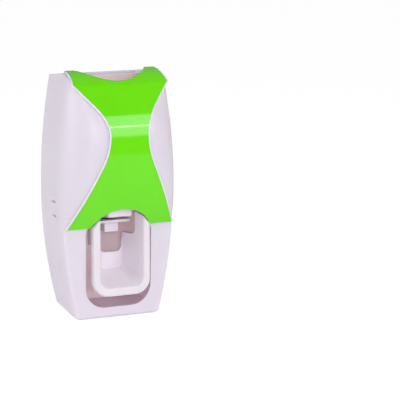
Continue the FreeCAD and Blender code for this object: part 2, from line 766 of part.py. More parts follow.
def make_rear_cover():
    """Flat cover that closes the back of the housing."""
    inset = size("wall") + size("slip")
    inside = form("cover_barrel", barrel(inset, 0))
    room = common("cover_room", inside, form("cover_deck", deck_slab(inset, 0)))
    whole = box("cover_slice", "-belly_half", "belly_half", "0", "cover_thick", "0", "body_height")
    plate = common("cover_plate", room, whole)
    return cut("cover_body", plate, *screw_holes("cover", COVER_SCREWS, "0", "cover_thick"))


def plane(body, role):
    """One of a body's own origin planes."""
    return next(item for item in body.Origin.OriginFeatures if item.Role == role)


def front_sketch(body, name, depth):
    """Empty sketch seen from the front, at a depth."""
    sketch = body.newObject("Sketcher::SketchObject", name)
    sketch.AttachmentSupport = (plane(body, "XZ_Plane"), [""])
    sketch.MapMode = "FlatFace"
    return bind(sketch, AttachmentOffset__Base__z=depth)


def trough_sketch(body, name, depth, half, low, high, radius):
    """Outline with a flat top, upright sides and rounded bottom corners, centred across."""
    sketch = front_sketch(body, name, depth)
    w, b, t, r = value(half), value(low), value(high), value(radius)
    up = FreeCAD.Vector(0, 0, 1)
    circles = [Part.Circle(FreeCAD.Vector(side * (w - r), b + r, 0), up, r) for side in (-1, 1)]
    corners = [(-w, t), (-w, b + r), (r - w, b), (w - r, b), (w, b + r), (w, t)]
    at = [FreeCAD.Vector(x, y, 0) for x, y in corners]
    sketch.addGeometry(Part.LineSegment(at[0], at[1]))
    sketch.addGeometry(Part.ArcOfCircle(circles[0], math.pi, 1.5 * math.pi))
    sketch.addGeometry(Part.LineSegment(at[2], at[3]))
    sketch.addGeometry(Part.ArcOfCircle(circles[1], 1.5 * math.pi, 2 * math.pi))
    sketch.addGeometry(Part.LineSegment(at[4], at[5]))
    sketch.addGeometry(Part.LineSegment(at[5], at[0]))
    joins = [Sketcher.Constraint("Tangent", n, 2, n + 1, 1) for n in range(4)]
    joins += [Sketcher.Constraint("Coincident", 4, 2, 5, 1), Sketcher.Constraint("Coincident", 5, 2, 0, 1)]
    joins += [Sketcher.Constraint("Vertical", 0), Sketcher.Constraint("Vertical", 4)]
    joins += [Sketcher.Constraint("Horizontal", 2), Sketcher.Constraint("Horizontal", 5)]
    joins += [Sketcher.Constraint("Equal", 1, 3)]
    sketch.addConstraint(joins)
    drivers = (
        (Sketcher.Constraint("Radius", 1, r), radius),
        (Sketcher.Constraint("DistanceX", 0, 1, -1, 1, w), half),
        (Sketcher.Constraint("DistanceX", -1, 1, 4, 2, w), half),
        (Sketcher.Constraint("DistanceY", -1, 1, 2, 1, b), low),
        (Sketcher.Constraint("DistanceY", -1, 1, 5, 1, t), high),
    )
    for constraint, text in drivers:
        number = sketch.addConstraint(constraint)
        sketch.setExpression(f"Constraints[{number}]", formula(text))
    return sketch


def make_scoop():
    """Scoop of the lever: a rim that tapers back to a short upright heel with a notch above it."""
    body = doc.addObject("PartDesign::Body", "scoop")
    straight = body.newObject("PartDesign::Pad", "straight_rim")
    rim = trough_sketch(body, "rim_outline", "lever_front - rim_deep", "lever_half", "lever_low",
                        "lever_high", "lever_round")
    straight.Profile = rim
    bind(straight, Length="rim_deep")
    doc.recompute()
    outer = body.newObject("PartDesign::AdditiveLoft", "scoop_outside")
    heel = trough_sketch(body, "heel_outline", "lever_back", "heel_half", "heel_low",
                         "lever_high", "heel_round")
    outer.Profile, outer.Sections, outer.Ruled = rim, [heel], True
    doc.recompute()
    inner = body.newObject("PartDesign::SubtractiveLoft", "scoop_inside")
    mouth = trough_sketch(body, "scoop_mouth", "lever_front", "scoop_half", "scoop_low",
                          "lever_high + wall", "scoop_round")
    back = trough_sketch(body, "scoop_heel_outline", "scoop_back", "scoop_heel", "scoop_heel_low",
                         "lever_high + wall", "heel_round")
    inner.Profile, inner.Sections, inner.Ruled = mouth, [back], True
    doc.recompute()
    notch = body.newObject("PartDesign::Pocket", "notch")
    notch.Profile = trough_sketch(body, "notch_outline", "scoop_back", "notch_half", "notch_low",
                                  "lever_high + wall", "notch_round")
    bind(notch, Length="scoop_back - lever_back + wall")
    doc.recompute()
    if notch.Shape.Volume >= inner.Shape.Volume:
        raise RuntimeError("the notch cut nothing")
    return body


def make_flare():
    """Wedge that widens the notch upwards."""
    low, high = size("notch_low") + size("notch_round"), size("crest_height") + size("wall")
    narrow, wide = size("notch_half"), size("notch_half") + size("notch_flare")
    corners = [(-narrow, low), (narrow, low), (wide, high), (-wide, high)]
    points = [vector(x, 0, z) for x, z in corners]
    face = Part.Face(Part.makePolygon(points + points[:1]))
    return form("notch_wedge", face.extrude(vector(0, size("scoop_back") + size("wall"), 0)))


def make_lever():
    """Push lever: scoop under the arch, two arms up to the hinge pin and a crossbar for the piston."""
    high = box("trim_block", "-belly_half", "belly_half", "arm_back", FAR, ARCH_CENTRE, "body_height")
    arch = rod("trim_arch", "depth", f"{ARCH_RADIUS} - arch_gap", "0", FAR, z=ARCH_CENTRE)
    crest = box("crest_trim", "-belly_half", "belly_half", "0", "crest_depth",
                "crest_height", "body_height")

    def crest_edge(edge):
        bounds = edge.BoundBox
        return (bounds.XLength > 1 and abs(bounds.YMin + size("crest_depth")) < TOUCH
                and abs(bounds.ZMax - size("crest_height")) < TOUCH)

    rise = rounded("crest_room", crest, "crest_round", crest_edge)
    scoop = cut("trimmed_scoop", make_scoop(), cut("arch_trim", high, arch), rise, make_flare())

    def rim_edge(edge):
        return abs(edge.BoundBox.YMin + size("lever_front")) < TOUCH and edge.BoundBox.YLength < TOUCH

    parts = [rounded("soft_scoop", scoop, "rim_edge", rim_edge)]
    for side, sign in (("left", -1), ("right", 1)):
        near, far = f"{sign} * arm_inner", f"{sign} * (arm_inner + arm_thick)"
        low, top = (far, near) if sign < 0 else (near, far)
        parts.append(box(f"arm_{side}", low, top, "arm_back", "arm_front", "arm_low", "pivot_height"))
        parts.append(box(f"knuckle_{side}", low, top, "arm_back", "bar_front", "bar_low", "bar_high"))
        parts.append(box(f"hinge_web_{side}", low, top, "arm_back", "pivot_depth",
                         "pivot_height - pivot_boss / 2", "pivot_height"))
        parts.append(rod(f"boss_{side}", "x", "pivot_boss", low, top,
                         depth="pivot_depth", z="pivot_height"))
    parts.append(box("crossbar", "-arm_inner", "arm_inner", "bar_back", "bar_front",
                     "bar_low", "bar_high"))
    block = box("thumb_block", "-thumb_half", "thumb_half", "bar_back", "bar_front + nose_gap",
                "thumb_low", "bar_high")
    front = -size("bar_front")
    parts.append(rounded("thumb", block, "thumb_round", lambda edge: edge.BoundBox.YMin < front))
    parts.append(rod("nose", "x", "nose_bar", "-thumb_half", "thumb_half",
                     depth="pivot_depth", z="pump_height"))
    hole = rod("lever_hole", "x", "pin_radius + pin_fit", "-belly_half", "belly_half",
               depth="pivot_depth", z="pivot_height")
    return cut("lever_body", fuse("lever_solid", *parts), hole)


def make_pad():
    """Adhesive foam pad on the rear cover."""
    body = doc.addObject("PartDesign::Body", "pad")
    sketch = front_sketch(body, "pad_outline", "-pad_thick")
    half, bottom, head = "pad_width / 2", "mount_height - pad_height / 2", "mount_height + pad_height / 2"
    w, low, top = value(half), value(bottom), value(head)
    at = [FreeCAD.Vector(x, y, 0) for x, y in ((-w, low), (w, low), (w, top), (-w, top))]
    for number in range(4):
        sketch.addGeometry(Part.LineSegment(at[number], at[(number + 1) % 4]))
    for number in range(4):
        sketch.addConstraint(Sketcher.Constraint("Coincident", number, 2, (number + 1) % 4, 1))
        sketch.addConstraint(Sketcher.Constraint("Vertical" if number % 2 else "Horizontal", number))
    drivers = (
        (Sketcher.Constraint("DistanceX", 0, 1, -1, 1, w), half),
        (Sketcher.Constraint("DistanceX", -1, 1, 1, 1, w), half),
        (Sketcher.Constraint("DistanceY", -1, 1, 0, 1, low), bottom),
        (Sketcher.Constraint("DistanceY", -1, 1, 2, 1, top), head),
    )
    for constraint, text in drivers:
        number = sketch.addConstraint(constraint)
        sketch.setExpression(f"Constraints[{number}]", formula(text))
    pad = body.newObject("PartDesign::Pad", "pad_slab")
    pad.Profile = sketch
    bind(pad, Length="pad_thick")
    doc.recompute()
    thin = size("pad_thick") / 2
    corners = [f"Edge{n}" for n, edge in enumerate(pad.Shape.Edges, 1) if edge.BoundBox.YLength > thin]
    fillet = body.newObject("PartDesign::Fillet", "pad_corners")
    fillet.Base = (pad, corners)
    bind(fillet, Radius="pad_round")
    return body


PUMP_BACK = f"{FRAME_FRONT} + cap_thick"
PISTON_FRONT = "pivot_depth - nose_bar - nose_gap"
OUTLET_LOW = "pump_height - pump_bore - pump_wall - stem_drop"
NOZZLE_TOP = f"{OUTLET_LOW} - gasket_thick"
SHELF_LOW = "shelf_top - frame_thick"
SOCKET = "(flow_depth - cover_thick - socket_clear)"


def make_frame():
    """Pump frame: a plate on the posts, two ears for the hinge pin and a shelf for the tube socket."""
    parts = [box("frame_plate", "-frame_half", "frame_half", "frame_back", FRAME_FRONT,
                 "frame_low", "shelf_top")]
    parts.append(box("shelf", "-ear_inner - frame_thick", "ear_inner + frame_thick", "frame_back",
                     "shelf_front", SHELF_LOW, "shelf_top"))
    for side, sign in (("left", -1), ("right", 1)):
        ends = [f"{sign} * ear_inner", f"{sign} * (ear_inner + frame_thick)"][::sign]
        parts.append(box(f"ear_{side}", *ends, "frame_back", "ear_root", "ear_low", "shelf_top"))
        parts.append(box(f"reach_{side}", *ends, "frame_back", "pivot_depth", "pivot_height - ear_round",
                         "pivot_height + ear_round"))
        parts.append(rod(f"eye_{side}", "x", "ear_round", *ends, depth="pivot_depth", z="pivot_height"))
    pin_hole = rod("frame_pin_hole", "x", "pin_radius", "-belly_half", "belly_half",
                   depth="pivot_depth", z="pivot_height")
    flow_hole = rod("shelf_hole", "z", "flow_radius", "ear_low", "body_height", depth="flow_depth")
    return cut("frame_body", fuse("frame_solid", *parts), pin_hole, flow_hole,
               *screw_holes("frame", FRAME_SCREWS, "frame_back", FRAME_FRONT))


def make_pump_body():
    """Cylinder of the pump with an inlet stem above and an outlet stem below."""
    barrel_rod = rod("pump_barrel", "depth", "pump_bore + pump_wall", PUMP_BACK, "pump_front",
                     z="pump_height")
    stem = rod("pump_stem", "z", "flow_radius + stem_wall", OUTLET_LOW, SHELF_LOW, depth="flow_depth")
    bore = rod("pump_bore_room", "depth", "pump_bore", PUMP_BACK, "pump_front", z="pump_height")
    flow = rod("pump_flow", "z", "flow_radius", OUTLET_LOW, SHELF_LOW, depth="flow_depth")
    return cut("pump_shell", fuse("pump_solid", barrel_rod, stem), bore, flow)


def make_pump_cap():
    """End cap with a spigot that centres the spring."""
    disc = rod("cap_disc", "depth", "pump_bore + pump_wall", FRAME_FRONT, PUMP_BACK, z="pump_height")
    spigot = rod("cap_stub", "depth", "cap_spigot", FRAME_FRONT, f"{PUMP_BACK} + cap_reach",
                 z="pump_height")
    return fuse("cap_body", disc, spigot)


def make_piston():
    """Piston with a groove for its seal, pushed by the nose of the lever."""
    core = rod("piston_core", "depth", "pump_bore - piston_fit", "piston_back", PISTON_FRONT,
               z="pump_height")
    floor = "pump_bore - piston_fit - 2 * seal_radius - seal_room"
    half = "(seal_radius + seal_room)"
    groove = tube("piston_groove", "depth", floor, "pump_bore + pump_wall", f"seal_depth - {half}",
                  f"seal_depth + {half}", z="pump_height")
    return cut("piston_body", core, groove)


def make_seal():
    """Round-section ring in the groove of the piston."""
    ring = doc.addObject("Part::Torus", "seal_ring")
    ring.Placement = FreeCAD.Placement(FreeCAD.Vector(), TURNS["depth"])
    bind(ring, Radius1="pump_bore - piston_fit - seal_radius - seal_room / 2", Radius2="seal_radius")
    bind(ring, Placement__Base__y="-seal_depth", Placement__Base__z="pump_height")
    return compound("seal_set", [ring])


def make_spring():
    """Helical return spring between the end cap and the piston."""
    radius, wire, turns = size("spring_radius"), size("spring_wire"), size("spring_turns")
    start, end = value(PUMP_BACK) + wire, size("piston_back") - wire
    long, z = end - start, size("pump_height")
    quarters = int(round(4 * turns))

    def on_helix(step):
        turn = step * math.pi / 2
        return vector(radius * math.cos(turn), start + long * step / quarters, z + radius * math.sin(turn))

    def biarc(step):
        middle = on_helix(step + 0.5)
        return Part.Arc(on_helix(step), middle, on_helix(step + 1)).toShape()

    path = Part.Wire([biarc(step) for step in range(quarters)])
    first = path.Edges[0]
    section = Part.Wire(Part.Circle(on_helix(0), first.tangentAt(first.FirstParameter), wire).toShape())
    points = [on_helix(step / 4) for step in range(4 * quarters + 1)]
    apart = min(a.distanceToPoint(b) for n, a in enumerate(points) for b in points[n + 8:])
    print("least gap between the spring's turns", round(apart - 2 * wire, 3), "mm")
    return form("spring_coil", path.makePipeShell([section], True, False))


def make_valve(name, top):
    """Duckbill valve: a hollow cone that closes to a slit at its tip."""
    wide, thin = "flow_radius - pin_fit", "valve_tip"
    low = f"{top} - valve_long"
    outer = cone(f"{name}_outer", "z", thin, wide, low, top, depth="flow_depth")
    inner = cone(f"{name}_inner", "z", "valve_slit", f"{wide} - valve_tip / 2", f"{low} + valve_tip", top,
                 depth="flow_depth")
    slit = box(f"{name}_slit", "-valve_tip / 2", "valve_tip / 2", "flow_depth - valve_slit / 2",
               "flow_depth + valve_slit / 2", low, f"{low} + 2 * valve_tip")
    return cut(f"{name}_body", outer, inner, slit)


def make_nozzle():
    """Nozzle: a plate under the pump with a square spout and a spigot in the outlet stem."""
    plate = box("nozzle_base", "-nozzle_half", "nozzle_half", "flow_depth - nozzle_reach",
                "flow_depth + nozzle_reach", f"{NOZZLE_TOP} - nozzle_plate", NOZZLE_TOP)
    spout = box("spout", "-spout_half", "spout_half", "flow_depth - spout_half", "flow_depth + spout_half",
                f"{NOZZLE_TOP} - nozzle_plate - spout_long", NOZZLE_TOP)
    spigot = rod("nozzle_spigot", "z", "flow_radius - pin_fit", NOZZLE_TOP, f"{OUTLET_LOW} + spigot_long",
                 depth="flow_depth")
    bore = rod("spout_bore", "z", "flow_radius", "0", f"{NOZZLE_TOP} - nozzle_plate", depth="flow_depth")
    feed = rod("spigot_bore", "z", "flow_radius - spigot_wall", "0", f"{OUTLET_LOW} + spigot_long",
               depth="flow_depth")
    return cut("nozzle_body", fuse("nozzle_solid", plate, spout, spigot), bore, feed)


def make_gasket():
    """Flat ring between the outlet stem and the nozzle."""
    return tube("gasket_ring", "z", "flow_radius", "flow_radius + stem_wall", NOZZLE_TOP, OUTLET_LOW,
                depth="flow_depth")


def make_socket():
    """Cup that takes the neck of the upturned tube."""
    rim = "shelf_top + socket_high"
    cup = rod("socket_cup", "z", SOCKET, "shelf_top", rim, depth="flow_depth")
    flare = cone("socket_lip", "z", SOCKET, f"{SOCKET} + socket_flare",
                 f"{rim} - 2 * socket_flare", rim, depth="flow_depth")
    room = rod("socket_room", "z", f"{SOCKET} - socket_wall", "shelf_top + socket_floor",
               f"{rim} + wall", depth="flow_depth")
    flow = rod("socket_flow", "z", "flow_radius", "0", f"{rim} + wall", depth="flow_depth")
    return cut("socket_body", fuse("socket_solid", cup, flare), room, flow)


def make_grommet():
    """Soft ring that grips the neck of the tube."""
    low = "shelf_top + socket_floor"
    inside = f"{SOCKET} - socket_wall"
    ring = rod("grommet_ring", "z", f"{inside} - slip", low, f"{low} + grommet_high", depth="flow_depth")
    bore = rod("grommet_bore", "z", "grommet_neck", low, f"{low} + grommet_high", depth="flow_depth")
    funnel = cone("grommet_funnel", "z", "grommet_neck", f"{inside} - grommet_lip",
                  f"{low} + grommet_high / 2", f"{low} + grommet_high", depth="flow_depth")
    return cut("grommet_body", ring, bore, funnel)


PIN_END = "arm_inner + arm_thick + slip + 2 * clip_thick"


def make_pin():
    """Hinge pin through the ears of the frame and the arms of the lever."""
    bar = rod("pin_bar", "x", "pin_radius", f"-({PIN_END})", PIN_END, depth="pivot_depth", z="pivot_height")
    doc.recompute()
    pin = doc.addObject("Part::Chamfer", "pin")
    pin.Base = bar
    rims = [n for n, edge in enumerate(bar.Shape.Edges, 1) if edge.BoundBox.XLength < size("pin_bevel")]
    pin.Edges = [(number, size("pin_bevel"), size("pin_bevel")) for number in rims]
    return pin


def make_clips():
    """Retaining clips at both ends of the pin."""
    start = "arm_inner + arm_thick + slip"
    place = {"depth": "pivot_depth", "z": "pivot_height"}
    left = tube("clip_left", "x", "pin_radius", "clip_radius", f"-({start}) - clip_thick", f"-({start})",
                **place)
    right = tube("clip_right", "x", "pin_radius", "clip_radius", start, f"{start} + clip_thick", **place)
    return compound("clip_pair", [left, right])


def check_and_write():
    """Stop on any failed object or shape, then write every piece to its own file."""
    doc.recompute()
    for item in doc.Objects:
        if {"Invalid", "Error"} & set(item.State):
            raise RuntimeError(f"{item.Label} failed: {item.State}")
    for item in PIECES:
        if item.Shape.isNull() or not item.Shape.isValid():
            raise RuntimeError(f"{item.Label} has no valid shape")
    os.makedirs("parts", exist_ok=True)
    for item in PIECES:
        print(item.Label, len(item.Shape.Solids), "solids", round(item.Shape.Volume, 1), "mm3")
        item.Shape.exportStep(f"parts/{item.Label}.step")


piece(make_housing(), "housing")
piece(make_rear_cover(), "rear_cover")
piece(make_panel(), "front_panel")
piece(make_lever(), "push_lever")
piece(make_pad(), "adhesive_pad")
piece(make_screws("cover", COVER_SCREWS, "0", "cover_thick"), "cover_screws")
piece(make_frame(), "pump_frame")
piece(make_screws("frame", FRAME_SCREWS, "frame_back", FRAME_FRONT), "frame_screws")
piece(make_pump_body(), "pump_body")
piece(make_pump_cap(), "pump_cap")
piece(make_piston(), "piston")
piece(make_seal(), "piston_seal")
piece(make_spring(), "return_spring")
piece(make_valve("inlet", SHELF_LOW), "inlet_valve")
piece(make_valve("outlet", f"{NOZZLE_TOP} - nozzle_plate"), "outlet_valve")
piece(make_nozzle(), "nozzle")
piece(make_gasket(), "nozzle_gasket")
piece(make_socket(), "tube_socket")
piece(make_grommet(), "inlet_grommet")
piece(make_pin(), "hinge_pin")
piece(make_clips(), "pin_clips")
check_and_write()
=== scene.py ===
"""Looks of a wall-hung toothpaste dispenser: finishes, trim and a small studio."""
import math

import bmesh
import bpy
from mathutils import Matrix, Vector


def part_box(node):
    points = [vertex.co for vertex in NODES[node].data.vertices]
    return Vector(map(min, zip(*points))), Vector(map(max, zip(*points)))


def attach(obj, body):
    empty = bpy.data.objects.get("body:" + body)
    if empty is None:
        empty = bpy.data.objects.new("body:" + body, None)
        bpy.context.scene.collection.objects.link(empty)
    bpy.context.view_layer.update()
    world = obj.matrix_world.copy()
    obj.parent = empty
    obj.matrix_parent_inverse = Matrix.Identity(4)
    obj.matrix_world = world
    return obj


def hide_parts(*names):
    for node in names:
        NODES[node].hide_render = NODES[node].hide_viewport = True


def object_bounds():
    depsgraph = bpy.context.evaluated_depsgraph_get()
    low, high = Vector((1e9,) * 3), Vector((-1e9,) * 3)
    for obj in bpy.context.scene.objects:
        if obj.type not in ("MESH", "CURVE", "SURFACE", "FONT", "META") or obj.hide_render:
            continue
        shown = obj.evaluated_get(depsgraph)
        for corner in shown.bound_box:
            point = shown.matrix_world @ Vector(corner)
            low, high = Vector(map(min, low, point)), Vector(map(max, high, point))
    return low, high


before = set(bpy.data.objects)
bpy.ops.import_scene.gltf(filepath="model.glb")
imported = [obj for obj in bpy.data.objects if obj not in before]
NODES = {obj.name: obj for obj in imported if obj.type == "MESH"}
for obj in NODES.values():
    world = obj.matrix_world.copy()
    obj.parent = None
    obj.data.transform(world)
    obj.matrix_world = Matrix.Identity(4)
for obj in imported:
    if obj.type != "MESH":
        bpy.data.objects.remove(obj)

bl_info = {
    "name": "Toothpaste dispenser",
    "version": (1, 0, 0),
    "blender": (4, 5, 0),
    "location": "View3D > Sidebar > Dispenser",
    "description": "Finishes a wall-hung toothpaste dispenser and sets it in a small studio",
    "category": "Object",
}

CAD_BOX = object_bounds()
MM = 0.001

# Light that spreads inside a thin wall
SPREAD = {"Subsurface Weight": 0.6, "Subsurface Radius": (1.0, 0.7, 0.72), "Subsurface Scale": 5 * MM}
# Reach of the occlusion that finds the hollows for the painted light and shade
PAINTED_LIGHT_REACH = 25 * MM

# Place, target, width and height of each lamp, in metres
LAMPS = {
    "softbox": ((0.53, -1.0, 0.40), (0, -0.05, 0.03), 0.6, 0.95),
    "strip": ((0.52, -0.98, 0.36), (0, -0.05, 0.03), 0.6, 0.03),
    "front": ((-0.48, -1.22, 0.23), (0, -0.04, -0.02), 0.45, 0.45),
    "fill": ((-1.15, 0.10, 0.35), (0, -0.03, 0.0), 0.9, 0.9),
}
FLOOR_WIDE, FLOOR_LONG, FLOOR_BACK = 8.0, 6.4, 2.87
HEAD_SIDES = 24


class DISPENSER_PG_finish(bpy.types.PropertyGroup):
    """Colours of the dispenser's materials."""

    shell: bpy.props.FloatVectorProperty(
        name="Shell", description="White plastic of the housing", subtype="COLOR",
        size=3, min=0, max=1, default=(0.80, 0.728, 0.832))
    lever: bpy.props.FloatVectorProperty(
        name="Lever", description="White plastic of the lever and the nozzle", subtype="COLOR",
        size=3, min=0, max=1, default=(0.845, 0.772, 0.855))
    # Painted light: a warmer, brighter white laid into the housing's hollows, standing in for the rosy light
    # that bounces there
    painted_hollow_light: bpy.props.FloatVectorProperty(
        name="Hollow", description="Plastic in the hollows of the housing", subtype="COLOR",
        size=3, min=0, max=1, default=(0.99, 0.95, 0.95))
    panel: bpy.props.FloatVectorProperty(
        name="Panel", description="Lime green plastic of the front panel", subtype="COLOR",
        size=3, min=0, max=1, default=(0.166, 0.815, 0.001))
    # Painted shade tone: the rosy tint that white plastic shows in the shade inside the housing
    inside: bpy.props.FloatVectorProperty(
        name="Inside", description="Rosy white plastic of the pieces inside", subtype="COLOR",
        size=3, min=0, max=1, default=(0.99, 0.80, 0.815))
    # Painted glow: emission in the hollows that stands in for light coming through the thin walls
    glow: bpy.props.FloatVectorProperty(
        name="Glow", description="Light that comes through the thin walls into the hollows", subtype="COLOR",
        size=3, min=0, max=1, default=(0.066, 0.044, 0.044))
    pump: bpy.props.FloatVectorProperty(
        name="Pump", description="Undyed plastic of the pump", subtype="COLOR",
        size=3, min=0, max=1, default=(0.78, 0.76, 0.74))
    silicone: bpy.props.FloatVectorProperty(
        name="Silicone", description="Soft valves and the grommet", subtype="COLOR",
        size=3, min=0, max=1, default=(0.70, 0.69, 0.68))
    rubber: bpy.props.FloatVectorProperty(
        name="Rubber", description="Seal and gasket", subtype="COLOR",
        size=3, min=0, max=1, default=(0.03, 0.03, 0.03))
    foam: bpy.props.FloatVectorProperty(
        name="Foam", description="Adhesive foam pad", subtype="COLOR",
        size=3, min=0, max=1, default=(0.72, 0.72, 0.68))
    steel: bpy.props.FloatVectorProperty(
        name="Steel", description="Screws, spring, pin and clips", subtype="COLOR",
        size=3, min=0, max=1, default=(0.55, 0.55, 0.56))


class DISPENSER_PG_trim(bpy.types.PropertyGroup):
    """Sizes of the trim and of the pieces that are modelled here."""

    bead: bpy.props.FloatProperty(
        name="Bead", description="Radius of the white bead along the panel's edges",
        default=0.00065, unit="LENGTH", precision=5)
    bead_out: bpy.props.FloatProperty(
        name="Bead outwards", description="Middle of the bead outside the panel's edge",
        default=0.00035, unit="LENGTH", precision=5)
    bead_sunk: bpy.props.FloatProperty(
        name="Bead sunk", description="Middle of the bead below the panel's face",
        default=0.00066, unit="LENGTH", precision=5)
    bead_short: bpy.props.FloatProperty(
        name="Bead end", description="Length of the horn's edge that the bead leaves free at its back",
        default=0.0006, unit="LENGTH", precision=5)
    pad_corner: bpy.props.FloatProperty(
        name="Pad corner", description="Corner radius of the foam pad",
        default=0.004, unit="LENGTH", precision=4)
    pad_edge: bpy.props.FloatProperty(
        name="Pad edge", description="Rounding of the foam pad's edges",
        default=0.00025, unit="LENGTH", precision=5)
    drive: bpy.props.FloatProperty(
        name="Drive", description="Half length of the cross recess in a screw's head",
        default=0.0016, unit="LENGTH", precision=5)
    drive_slot: bpy.props.FloatProperty(
        name="Drive slot", description="Half width of the cross recess in a screw's head",
        default=0.0003, unit="LENGTH", precision=5)
    drive_deep: bpy.props.FloatProperty(
        name="Drive depth", description="Depth of the cross recess in a screw's head",
        default=0.0009, unit="LENGTH", precision=5)
    drive_taper: bpy.props.FloatProperty(
        name="Drive taper", description="Floor of the cross recess as a part of its opening",
        default=0.75, min=0, max=1, subtype="FACTOR")
    head_edge: bpy.props.FloatProperty(
        name="Head edge", description="Width of the bevel round a screw's head",
        default=0.00012, unit="LENGTH", precision=5)
    head_drop: bpy.props.FloatProperty(
        name="Head drop", description="Height of the bevel round a screw's head",
        default=0.0001, unit="LENGTH", precision=5)
    head_high: bpy.props.FloatProperty(
        name="Head height", description="Height of a screw's head down to its shank",
        default=0.0014, unit="LENGTH", precision=5)
    shank: bpy.props.FloatProperty(
        name="Shank", description="Width of a screw's shank as a part of its head's",
        default=0.5, min=0, max=1, subtype="FACTOR")
    shank_short: bpy.props.FloatProperty(
        name="Shank end", description="End of a screw's shank before the bottom of its hole",
        default=0.0002, unit="LENGTH", precision=5)


class DISPENSER_PG_studio(bpy.types.PropertyGroup):
    """Camera and light."""

    eye: bpy.props.FloatVectorProperty(
        name="Eye", description="Place of the camera", subtype="TRANSLATION", size=3, unit="LENGTH",
        default=(-0.4780, -1.1541, 0.2070))
    azimuth: bpy.props.FloatProperty(
        name="Azimuth", description="Direction of view round the dispenser, 0 is straight from the front",
        default=math.radians(-25.47), subtype="ANGLE")
    elevation: bpy.props.FloatProperty(
        name="Elevation", description="Height of view above the horizon",
        default=math.radians(9.96), subtype="ANGLE")
    lens: bpy.props.FloatProperty(
        name="Lens", description="Focal length on a 36 mm sensor", default=181.0, unit="CAMERA")
    softbox: bpy.props.FloatProperty(
        name="Softbox", description="Power of the softbox in front", default=4.3, unit="POWER")
    front: bpy.props.FloatProperty(
        name="Front", description="Power of the lamp beside the camera", default=4.2, unit="POWER")
    fill: bpy.props.FloatProperty(
        name="Fill", description="Power of the fill light beside the dispenser", default=5.5, unit="POWER")
    ambient: bpy.props.FloatProperty(
        name="Ambient", description="Strength of the light from all round", default=0.42, min=0)
    room_front: bpy.props.FloatProperty(
        name="Room in front", description="Brightness of the room in front as the gloss mirrors it",
        default=0.12, min=0)
    room_back: bpy.props.FloatProperty(
        name="Room behind", description="Brightness of the room behind as the gloss mirrors it",
        default=0.3, min=0)
    floor_seen: bpy.props.FloatProperty(
        name="Floor", description="Glow of the floor as the camera sees it", default=0.9, min=0)
    floor_mirrored: bpy.props.FloatProperty(
        name="Mirrored floor", description="Glow of the floor as the gloss mirrors it", default=0.5, min=0)
    strip: bpy.props.FloatProperty(
        name="Strip", description="Power of the thin strip lamp in front", default=0.75, unit="POWER")


def settings(name):
    """Settings of one group: finish, trim or studio."""
    return getattr(bpy.context.scene, f"dispenser_{name}")


def socket(group, name, kind, way, default=None):
    """New input or output of a shader node group."""
    item = group.interface.new_socket(name=name, in_out=way, socket_type=f"NodeSocket{kind}")
    if default is not None:
        item.default_value = default
    return item


def add(tree, kind, **values):
    """New node, with values for its properties or, by number or name, its inputs."""
    node = tree.nodes.new(kind)
    for key, value in values.items():
        if hasattr(node, key):
            setattr(node, key, value)
        else:
            node.inputs[key.replace("_", " ")].default_value = value
    return node


def moulded_group():
    """Fine texture of moulded plastic: a height for bump, a cloudy mask and faint scuffs."""
    name = "Moulded surface"
    if name in bpy.data.node_groups:
        return bpy.data.node_groups[name]
    group = bpy.data.node_groups.new(name, "ShaderNodeTree")
    socket(group, "Grain", "Float", "INPUT", 1400.0)
    socket(group, "Cloud", "Float", "INPUT", 60.0)
    socket(group, "Scuff", "Float", "INPUT", 260.0)
    for output in ("Height", "Cloudiness", "Scuffs"):
        socket(group, output, "Float", "OUTPUT")
    inlet, outlet = group.nodes.new("NodeGroupInput"), group.nodes.new("NodeGroupOutput")
    place = group.nodes.new("ShaderNodeTexCoord")
    grain = add(group, "ShaderNodeTexNoise", Detail=3.0, Roughness=0.55)
    cloud = add(group, "ShaderNodeTexNoise", Detail=4.0, Roughness=0.6)
    scuff = add(group, "ShaderNodeTexVoronoi", feature="DISTANCE_TO_EDGE")
    stretch = add(group, "ShaderNodeMapping")
    stretch.inputs["Scale"].default_value = (1.0, 1.0, 0.12)
    stretch.inputs["Rotation"].default_value = (0.5, 0.9, 0.3)
    thin = add(group, "ShaderNodeMapRange", From_Min=0.0, From_Max=0.012, To_Min=1.0, To_Max=0.0)
    few = add(group, "ShaderNodeMapRange", From_Min=0.56, From_Max=0.70)
    scuffs = add(group, "ShaderNodeMath", operation="MULTIPLY")
    link = group.links.new
    for node in (grain, cloud):
        link(place.outputs["Object"], node.inputs["Vector"])
    link(place.outputs["Object"], stretch.inputs["Vector"])
    link(stretch.outputs["Vector"], scuff.inputs["Vector"])
    link(inlet.outputs["Grain"], grain.inputs["Scale"])
    link(inlet.outputs["Cloud"], cloud.inputs["Scale"])
    link(inlet.outputs["Scuff"], scuff.inputs["Scale"])
    link(scuff.outputs["Distance"], thin.inputs["Value"])
    link(cloud.outputs["Fac"], few.inputs["Value"])
    link(thin.outputs["Result"], scuffs.inputs[0])
    link(few.outputs["Result"], scuffs.inputs[1])
    link(grain.outputs["Fac"], outlet.inputs["Height"])
    link(cloud.outputs["Fac"], outlet.inputs["Cloudiness"])
    link(scuffs.outputs["Value"], outlet.inputs["Scuffs"])
    return group


def new_material(name):
    """Material with its nodes and its Principled shader."""
    material = bpy.data.materials.new(name)
    material.use_nodes = True
    tree = material.node_tree
    return material, tree, tree.nodes["Principled BSDF"]


